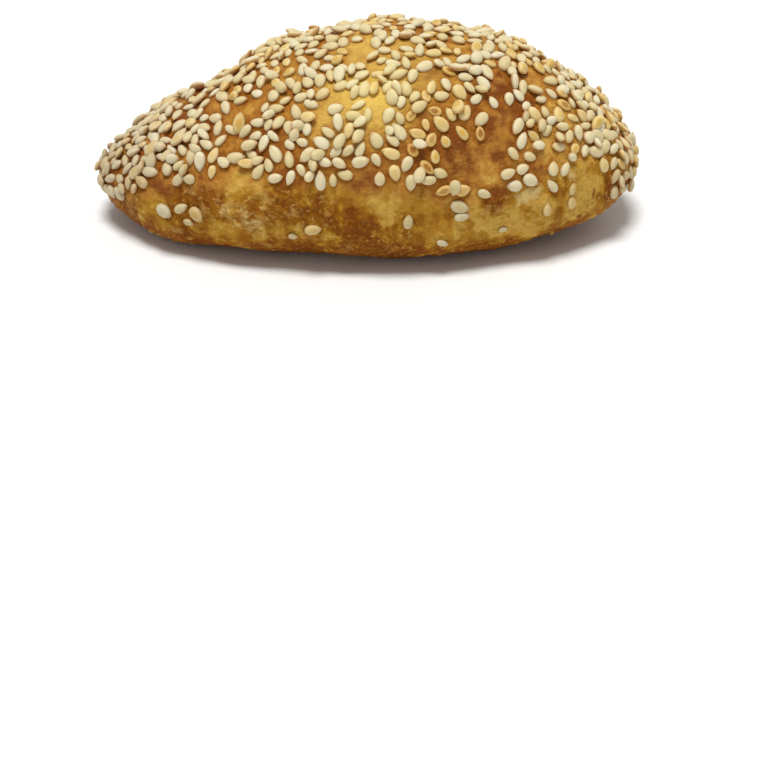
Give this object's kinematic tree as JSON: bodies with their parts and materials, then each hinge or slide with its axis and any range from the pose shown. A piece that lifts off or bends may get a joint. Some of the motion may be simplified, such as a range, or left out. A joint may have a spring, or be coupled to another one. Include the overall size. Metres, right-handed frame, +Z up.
{
  "type": "pogaca",
  "caption": "Almond-shaped savoury bun with a domed egg-washed crust, sesame seeds over its top and ends, a paler bare side and a flat base to rest on.",
  "frame": {"origin": "middle of the flat base, on the surface the bun rests on", "axes": "+X along the length towards the blunt end, -X towards the pointed end, -Y towards the shown side, +Z up"},
  "size_m": [0.1024, 0.0546, 0.0385],
  "materials": {
    "crust": "satin",
    "sesame": "satin"
  },
  "bodies": {
    "root": {"pogaca": "crust"}
  },
  "joints": []
}
